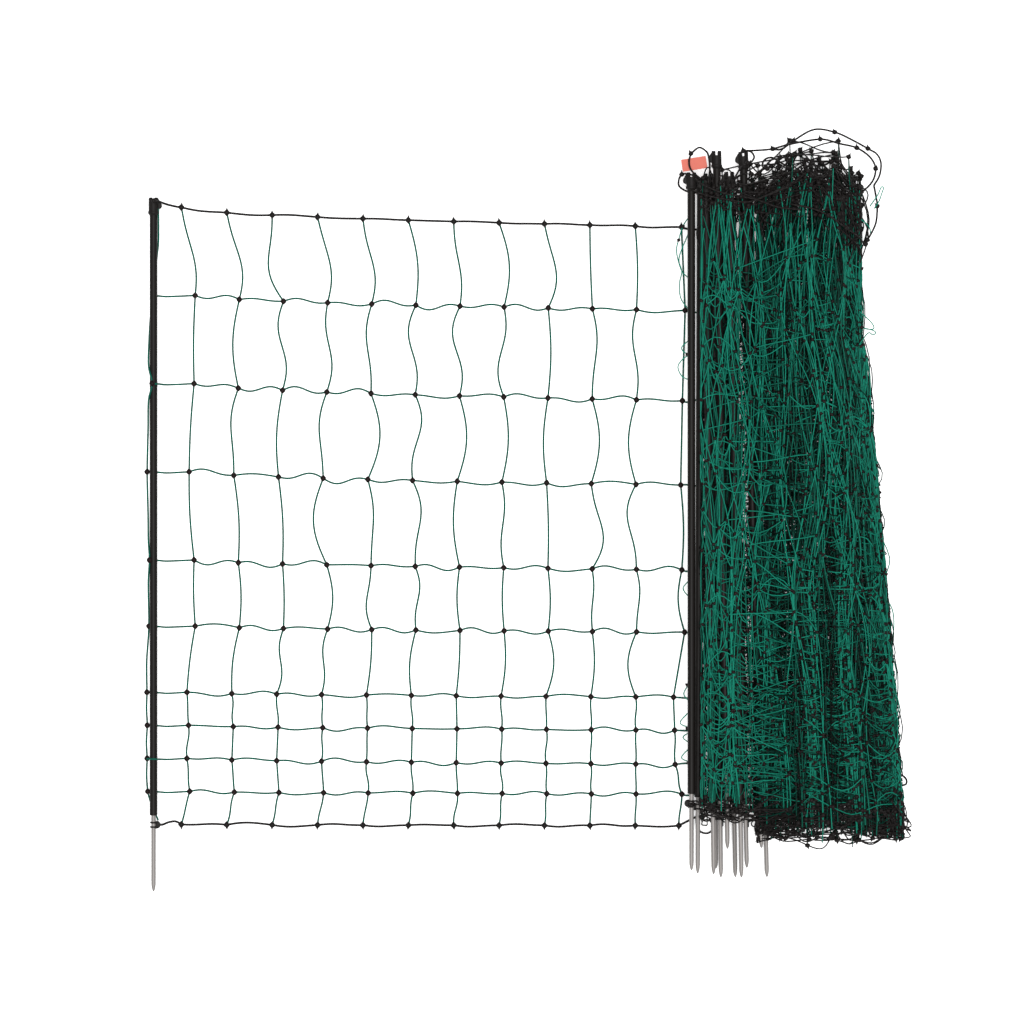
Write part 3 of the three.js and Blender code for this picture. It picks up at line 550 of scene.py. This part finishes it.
# The gathered net: the same twine, laid to and fro in folds beside and over the stacked posts. Each fold
# keeps its uprights near the same few places, and the slack of its rows hangs in swags between them.
FOLDS = 126
OVER_POSTS = 16
UNDER_POSTS = 34
FRONT_FOLDS = 18
FOOT_PLACES = np.array([1006, 1060, 1118, 1198, 1278, 1340.0])
WAIST_PLACES = np.array([1005, 1060, 1108, 1163, 1222, 1268.0])
HANK_SHARE = np.array([0, 0, 0.4, 1, 1, 1.0])
ROUNDED_TOP = np.array([0, 0, 2, 15, 17, -16.0])
WAIST_Y = 862.0
POSTS_EDGE = 962.5
HANK_EDGE = 1094.5
FOLD_TWINE = 1.0
ROW_LENGTH = 81.0
SMALL_KNOT = [(-4.0, 0.6), (0, 3.6), (4.0, 0.6)]
STRAND_STEP = 24.0
STRAND_LENGTH = 1150.0
FOOT_HEIGHT = 104.0
HEAD_HEIGHT = 84.0
DOME_HEIGHT = 99.0
DOME_RIPPLE = 5.0
BLOCK_HEIGHT = 64.0
VALLEY_HEIGHT = 42.0
PACKING = 2.4
UNDER_HEIGHT = 59.0
OVER_HEIGHT = 80.0
OVER_THICKNESS = 8.0
LEFT_LIMITS = (989.0, 1090.0)
TURN_BACK = 0.7
FIRST_TOP, TOP_FALL, TOP_CHANCE = 95.0, 122.0, 22.0
FIRST_FOOT, FOOT_FALL, FOOT_CHANCE = 75.0, 80.0, 9.0
MIDDLE_CHANCE = (62.0, 85.0)
LOOSENESS = (13.0, 27.0)
FRONT_REACH = 62.0
FRONT_HANG = 42.0
HIDDEN_TOPS = 45.0
KNOT_CHANCE = 11.0
OVER_HEADS = np.array([52, 44, 12, 0, 0, 0])
UNDER_HEADS = np.array([50, 44, 16, 0, 0, 0])
SWAG_DEPTH = 0.43
HANGING_DOWN = 0.8
# Painted shade: the folds below the top of the pile are darkened towards black by their place in it.
LIT_FROM, LIT_DEPTH, LIT_CURVE, LIT_CHANCE = 0.98, 0.175, 0.85, 0.17
EDGE_LOOPS = [
    [(970, 1084, 40), (958.8, 1066.4, 34), (951.3, 1042, 30), (947.6, 1021, 28), (956.1, 988, 30),
     (968, 974, 34)],
    [(968, 1052, 40), (952, 1010, 36), (957, 985, 34), (953.2, 965.7, 32), (954.9, 937.7, 32),
     (970, 915, 36)],
    [(970, 861, 50), (956, 846, 48), (969, 832, 50)],
    [(970, 834, 56), (958, 826, 52), (949.5, 812.5, 50), (956, 796, 50), (970, 788, 54)],
    [(968, 425, 44), (959, 412, 42), (968, 398, 44)],
    [(968, 238, 50), (960, 222, 48), (968, 210, 50)],
    [(972, 192, 54), (953.4, 170, 50), (972, 160, 54)],
    [(970, 152, 44), (958.9, 143, 42), (970, 133, 44)],
    [(970, 124, 52), (956, 106.7, 48), (972, 98, 52)],
    [(1276, 912, 60), (1298, 893, 50), (1303.4, 882, 48), (1294, 880, 50), (1278, 883, 60)],
    [(1278, 883, 60), (1300, 878.6, 50), (1306.5, 874, 48), (1301.5, 870, 48), (1292.5, 873, 50),
     (1276, 852, 58)],
    [(1304, 1098, 50), (1313, 1112, 46), (1318, 1126, 44), (1321, 1135, 44), (1317, 1137, 44),
     (1310, 1122, 46), (1296, 1102, 50)],
    [(1280, 1078, 56), (1293.8, 1065.6, 52), (1297, 1051.6, 52), (1293, 1042, 56)],
    [(1322, 398, 50), (1337, 374, 42), (1340, 340.3, 40), (1334, 306, 46)],
]
EDGE_LOOP_KNOTS = [(958.8, 1066.4, 35), (951.3, 1042, 31), (1281, 883, 61), (966, 834, 57), (966, 238, 51),
                   (966, 160, 54), (968, 98, 54), (1334, 306, 47)]


def hank_width(y):
    """190 mm at the waist and above, widening below it as (drop to the foot)^0.75 to 265 mm."""
    return 190 + 75 * np.clip((WAIST_Y - y) / (WAIST_Y + 17), 0, 1) ** 0.75


def fold_top(x, y):
    """Height of the pile: 64 mm beside the posts, 42 mm in the valley, and over the hank, a share a across
    it, (99 * sin(pi * (0.08 + 0.84 a))^0.5 + 5 cos(8 pi a)) mm, sinking to 84 / 104 of that at the heads."""
    a = np.clip((x - HANK_EDGE) / hank_width(y), 0, 1)
    dome = DOME_HEIGHT * np.sin(np.pi * (0.08 + 0.84 * a)) ** 0.5 + DOME_RIPPLE * np.cos(8 * np.pi * a)
    dome = dome * (FOOT_HEIGHT - (FOOT_HEIGHT - HEAD_HEIGHT) * np.clip(y / 1103, 0, 1)) / FOOT_HEIGHT
    rise = np.clip(a / 0.06, 0, 1)
    block = np.interp(x, [POSTS_EDGE + 110, HANK_EDGE], [BLOCK_HEIGHT, VALLEY_HEIGHT])
    return np.where(x < HANK_EDGE, block, VALLEY_HEIGHT + (dome - VALLEY_HEIGHT) * rise)


fold = np.arange(FOLDS)
depth = fold / (FOLDS - 1)
wide = (fold < UNDER_POSTS) | (fold >= FOLDS - OVER_POSTS)
present = np.ones((FOLDS, 6), bool)
present[~wide, :2] = False
front = fold >= FOLDS - FRONT_FOLDS
lined = fold % 2 == 0
top_shift = FIRST_TOP - TOP_FALL * depth ** 0.6 + rng.uniform(-TOP_CHANCE, TOP_CHANCE, FOLDS)
foot_shift = (FIRST_FOOT - FOOT_FALL * np.sin(np.pi * 0.9 * depth)
              + rng.uniform(-FOOT_CHANCE, FOOT_CHANCE, FOLDS))
middle_shift = rng.uniform(-1, 1, FOLDS) * np.where(front, *MIDDLE_CHANCE)
looseness = np.where(front, *LOOSENESS)[:, None, None]
stray = rng.normal(0, 1, (FOLDS, 6, 2)) * looseness
stray[..., 1] = np.where(front[:, None], stray[..., 1] * 1.9, stray[..., 1])
post_lift = np.where(depth[:, None] > 0.5, OVER_HEADS, -UNDER_HEADS)
raised = np.where(front & lined, FRONT_REACH, 0)[:, None] * HANK_SHARE + ROUNDED_TOP
raised = raised - np.where(lined, 0, HIDDEN_TOPS)[:, None]
lowered = np.where(front & ~lined, FRONT_HANG, 0)[:, None] * HANK_SHARE
sway = rng.uniform(0, 2 * np.pi, (FOLDS, 6, 2))
sway_width = rng.uniform(3, 15, (FOLDS, 6, 2)) * [2.2, 0.55]
sway_length = rng.uniform([480, 240], [950, 380], (FOLDS, 6, 2))


def upright_x(y):
    """Across: place(y) + stray + a slow and a quick wave, turned back where it would pass the edge of the
    gathering. The places spread from the waist to the foot, and the stray runs from one value at the foot to
    another at the top."""
    f = np.clip((WAIST_Y - y) / (WAIST_Y + 17), 0, 1) ** 0.75
    place = WAIST_PLACES[:, None] + (FOOT_PLACES - WAIST_PLACES)[:, None] * f
    height = np.clip(y / 1100, 0, 1)
    calm = 0.25 + 0.75 * np.clip(y / 550, 0, 1)
    slow = sway_width[..., :1] * np.sin(2 * np.pi * y / sway_length[..., :1] + sway[..., :1])
    quick = sway_width[..., 1:] * np.sin(2 * np.pi * y / sway_length[..., 1:] + sway[..., 1:])
    x = place + stray[..., :1] * (1 - height) + stray[..., 1:] * height + (slow + quick) * calm
    left = np.where(wide, *LEFT_LIMITS)[:, None, None]
    right = HANK_EDGE + hank_width(y) - 2
    x = np.where(x > right, right - TURN_BACK * (x - right), x)
    return np.where(x < left, left + TURN_BACK * (left - x), x)


def upright_z(x, y):
    """Height: t * top of the pile with t = 1 - (1 - share)^2.4, so that most folds lie near the top, but
    under and between the posts for the first folds and over them for the last ones."""
    share = ((fold + 0.5) / FOLDS)[:, None, None]
    hank = 1.5 + (fold_top(x, y) - 3) * (1 - (1 - share) ** PACKING)
    under = 1.5 + UNDER_HEIGHT * np.minimum(share * FOLDS / UNDER_POSTS, 1)
    over = OVER_HEIGHT - OVER_THICKNESS * (1 - share) * FOLDS / OVER_POSTS
    beside = np.clip((x - 1080) / 40, 0, 1)
    return np.where(share > 0.5, over, under) * (1 - beside) + hank * beside


row_share = ((ROW_HEIGHTS + 17) / 1120)[None, None, :]
fold_rows = (ROW_HEIGHTS + rng.normal(0, KNOT_CHANCE, (FOLDS, 6, len(ROW_HEIGHTS)))
             + (foot_shift[:, None] - lowered)[..., None] * (1 - row_share)
             + (top_shift[:, None] + post_lift + raised)[..., None] * row_share
             + middle_shift[:, None, None] * np.sqrt(np.clip(np.sin(np.pi * row_share), 0, 1)))
share_along = np.linspace(0, 1, int(STRAND_LENGTH / STRAND_STEP))
strand_y = fold_rows[..., :1] + (fold_rows[..., -1:] - fold_rows[..., :1]) * share_along
strand_x = upright_x(strand_y)
strands = np.stack([strand_x, strand_y, upright_z(strand_x, strand_y)], -1)
knot_x = upright_x(fold_rows)
fold_knots = np.stack([knot_x, fold_rows, upright_z(knot_x, fold_rows)], -1)


def row_spans(first, second, steps, limit, outward=None):
    """Row twines between knots of one fold, hanging in a swag: its depth is 0.43 * sqrt(row length^2 -
    distance^2), up to the limit. Where the net turns back for the next fold, the swag stands outward a
    little."""
    apart = np.linalg.norm(second - first, axis=1)
    sag = SWAG_DEPTH * np.sqrt(np.clip(ROW_LENGTH ** 2 - apart ** 2, 0, None))
    sag = sag * rng.uniform(0.4, 0.95, len(first))
    way = np.where(rng.random(len(first)) < HANGING_DOWN, -1.0, 1.0)
    bow = np.stack([rng.uniform(-3, 3, len(first)), way * np.minimum(sag, limit),
                    rng.uniform(-1, 1, len(first))], -1)
    if outward is not None:
        bow = np.stack([outward * rng.uniform(1, 13, len(first)), bow[:, 1] * 0.55, 0 * sag], -1)
    swing = rng.uniform(-2, 2, (len(first), 3)) * [1, 1, 0.3]
    return spans(first, second, bow, swing, steps)


def row_turns(places, slots, folds, steps, limit, outward):
    """Row twines that join one fold's last upright to the next fold's, at the edge where the net turns
    back."""
    first, second = places[folds, slots[folds]], places[folds + 1, slots[folds + 1]]
    return row_spans(first.reshape(-1, 3), second.reshape(-1, 3), steps, limit, outward)


next_to = present[:, :-1]
even = np.arange(0, FOLDS - 1, 2)
odd = np.arange(1, FOLDS - 1, 2)
left_slot = np.where(present[:, 0], 0, 2)
right_slot = np.full(FOLDS, 5)
inner_knots = fold_knots[:, :, 1:-1]
rows = [row_spans(inner_knots[:, :-1][next_to].reshape(-1, 3), inner_knots[:, 1:][next_to].reshape(-1, 3),
                  6, 34),
        row_turns(inner_knots, right_slot, even, 6, 30, 1.0),
        row_turns(inner_knots, left_slot, odd, 6, 30, -0.35)]


def fold_painted_shade(folds):
    """Painted shade of a fold: ((0.98 - its share of the pile) / 0.175)^0.85 between 0 and 1, with a chance
    part of
    0.17. It darkens the twine and knots of the deeper folds towards black, for the shade inside the pile."""
    share = np.clip((LIT_FROM - (folds + 0.5) / FOLDS) / LIT_DEPTH, 0, 1) ** LIT_CURVE
    return np.clip(share + rng.normal(0, LIT_CHANCE, len(folds)), 0, 1)


# Each fold's uprights, rows and knots carry its painted shade.
fold_of = np.broadcast_to(fold[:, None], (FOLDS, 6))
for half, some in (("back", fold < FOLDS // 2), ("front", fold >= FOLDS // 2)):
    kept = present & some[:, None]
    twines = shell(tube(strands[kept], FOLD_TWINE, 4), ends=False, painted_shade_and_tone=fold_painted_shade(fold_of[kept]))
    add_piece(f"gathered_uprights_{half}", [twines], green_twine, ["mesh_folds"])
loops = [shell(tube(smooth(loop, 6), FOLD_TWINE, 8)) for loop in EDGE_LOOPS]
row_folds = np.repeat(np.concatenate([fold_of[:, :-1][next_to], even, odd]), len(inner))
row_paths, row_painted_shade = np.concatenate(rows), fold_painted_shade(row_folds)
for half, some, more in (("back", row_folds < FOLDS // 2, []), ("front", row_folds >= FOLDS // 2, loops)):
    twines = shell(tube(row_paths[some], FOLD_TWINE, 4), ends=False, painted_shade_and_tone=row_painted_shade[some])
    add_piece(f"gathered_rows_{half}", [twines, *more], green_twine, ["mesh_folds"])
tied = np.concatenate([inner_knots[present].reshape(-1, 3), EDGE_LOOP_KNOTS]) + [0, 0, 0.8]
tied_painted_shade = np.concatenate([fold_painted_shade(np.repeat(fold_of[present], len(inner))),
                             np.zeros(len(EDGE_LOOP_KNOTS))])
tied_knots = knots(tied, SMALL_KNOT, turn=rng.uniform(0, np.pi, len(tied)), sides=6)
add_piece("gathered_knots", [shell(tied_knots, ends=False, painted_shade_and_tone=tied_painted_shade)],
          knot_black, ["mesh_folds"])


# The top line of the gathered net: the black cord follows the folds, so it piles up in loops over the heads.
# Only every second fold's line is drawn. A few long loops stand clear of the pile, the longest above the
# hank.
PILED_LINE_RADIUS = 1.25
LOOP_RADIUS = 1.75
TOP_LOOPS = [
    [(1120, 1205, 40), (1138, 1206, 46), (1157.6, 1220, 52), (1194.5, 1240, 58), (1231.9, 1235, 60),
     (1262, 1222, 58),
     (1292.3, 1206, 52), (1309, 1196, 48), (1316.5, 1180, 44), (1314, 1158, 40), (1304, 1140, 36)],
    [(1066.5, 1200.6, 72), (1094, 1202, 66), (1120, 1205, 60), (1150, 1213, 62), (1205.3, 1221.9, 66),
     (1240, 1214, 66),
     (1271.5, 1206.6, 62), (1296, 1190, 56), (1306.3, 1169.8, 50), (1300, 1146, 46), (1276, 1122, 48)],
    [(1066.5, 1200.6, 72), (1080, 1199, 72), (1086, 1190, 72), (1082, 1182, 73), (1074.3, 1178.2, 74),
     (1062, 1170, 75), (1050, 1150, 76)],
    [(972.3, 1196.1, 68), (986.5, 1206.6, 70), (998, 1201, 72), (1003.3, 1192.8, 74), (1006, 1170, 77),
     (1003, 1140, 78)],
    [(972.3, 1196.1, 68), (969, 1182, 66), (973, 1166, 66), (990, 1150, 70)],
    [(990, 1150, 72), (972, 1158, 66), (956.1, 1158.8, 62), (950, 1144.3, 60), (955, 1134, 60),
     (975, 1126, 64), (1010, 1128, 74)],
    [(1304, 1140, 40), (1308, 1118, 42), (1309.8, 1102.4, 44), (1307.5, 1074.7, 48), (1300, 1056, 52),
     (1291, 1040.9, 58),
     (1287.3, 1032.9, 62), (1272, 1046, 78), (1250.7, 1060.9, 84), (1218.1, 1083.8, 86),
     (1187.2, 1096.5, 86), (1150, 1104, 86)],
    [(1109, 1167.7, 80), (1101, 1172, 80), (1103.3, 1182.9, 80), (1116, 1188, 80), (1132, 1180, 80),
     (1150, 1168, 80)],
    [(978, 1150, 79), (1000, 1136, 79), (1030, 1124, 79), (1062, 1118, 79), (1090, 1112, 82),
     (1130, 1098, 86), (1170, 1094, 86)],
    [(972, 1131, 76), (1000, 1120, 79), (1040, 1112, 79), (1075, 1108, 81), (1110, 1120, 84),
     (1150, 1136, 86)],
]
TOP_LOOP_KNOTS = [
    (1120, 1205, 60), (1157.6, 1220, 52), (1231.9, 1235, 60), (1292.3, 1206, 52), (1205.3, 1221.9, 66),
    (1271.5, 1206.6, 62), (1306.3, 1169.8, 50), (1066.5, 1200.6, 72), (1074.3, 1178.2, 74),
    (972.3, 1196.1, 68), (956.1, 1158.8, 62), (1309.8, 1102.4, 44), (1291, 1040.9, 58), (1287.3, 1032.9, 62),
    (1250.7, 1060.9, 84), (1218.1, 1083.8, 86), (1109, 1167.7, 80), (1000, 1136, 79), (1062, 1118, 79),
    (1000, 1120, 79),
]

top_of_folds = fold_knots[:, :, -1]
lined_rows = next_to & lined[:, None]
top_rows = [row_spans(top_of_folds[:, :-1][lined_rows], top_of_folds[:, 1:][lined_rows], 9, 30),
            row_turns(top_of_folds, right_slot, even, 9, 24, 1.6),
            row_turns(top_of_folds, left_slot, odd, 9, 24, -1.2)]
top_tied = np.concatenate([top_of_folds[lined][present[lined]], TOP_LOOP_KNOTS]) + [0, 0, 1]
top_folds = [shell(tube(np.concatenate(top_rows), PILED_LINE_RADIUS, 6), ends=False),
             *[shell(tube(smooth(loop, 6), LOOP_RADIUS, 8)) for loop in TOP_LOOPS],
             shell(knots(top_tied, SPUR_PROFILE[1:], size=0.95, turn=rng.normal(0, 0.5, len(top_tied)),
                         sides=6))]
add_piece("top_line_gathered", top_folds, black_cord, ["top_line_folds"])


# The bottom line of the gathered net: black cord at the foot of the folds, with a few small loops past the
# ends of the posts. Here too only every second fold's line is drawn, and the next one hides the others.
FOOT_LOOPS = [
    [(972.8, 22, 74), (981.2, 30, 78), (1000, 16, 80), (1020.2, 5.6, 80), (1047.4, -0.7, 80),
     (1072, 8, 84), (1096.4, 23.8, 88), (1120, 40, 92)],
    [(985, 10, 12), (984, -10, 10), (987, -24, 8), (994, -31, 6), (1005, -32.5, 6), (1015, -26, 8)],
    [(1335, 70, 40), (1350, 76, 38), (1362, 68, 36), (1362, 58, 36), (1348, 56, 40), (1330, 60, 44)],
    [(1340, 30, 40), (1354, 34, 38), (1358, 12, 36), (1357, -8, 34), (1346, -16, 34), (1330, -10, 36)],
]
FOOT_LOOP_KNOTS = [(972.8, 22, 74), (1047.4, -0.7, 80), (1096.4, 23.8, 88), (1335, 70, 40), (1354, 34, 38),
                   (1346, -16, 34)]

foot_of_folds = fold_knots[:, :, 0]
foot_rows = [row_spans(foot_of_folds[:, :-1][lined_rows], foot_of_folds[:, 1:][lined_rows], 9, 14),
             row_turns(foot_of_folds, right_slot, even, 9, 16, 1.3),
             row_turns(foot_of_folds, left_slot, odd, 9, 12, -1.0)]
foot_tied = np.concatenate([foot_of_folds[lined][present[lined]], FOOT_LOOP_KNOTS]) + [0, 0, 1]
foot_folds = [shell(tube(np.concatenate(foot_rows), PILED_LINE_RADIUS, 6), ends=False),
              *[shell(tube(smooth(loop, 6), LOOP_RADIUS, 8)) for loop in FOOT_LOOPS],
              shell(knots(foot_tied, SPUR_PROFILE[1:], size=0.95,
                          turn=np.pi + rng.normal(0, 0.5, len(foot_tied)), sides=6))]
add_piece("bottom_line_gathered", foot_folds, black_cord, ["bottom_line_folds"])


# The tag: a small stamped piece of salmon card, plain on both sides. It lies on the first heads, held by a
# loop of the top line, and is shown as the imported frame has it.
tag_card = paint("salmon_card", (0.50, 0.135, 0.100), (0.45, 0.112, 0.084), 90.0, 0.75, bump=0.05, shine=0.2)
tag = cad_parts["net_tag"]
tag.data.materials.clear()
tag.data.materials.append(tag_card)
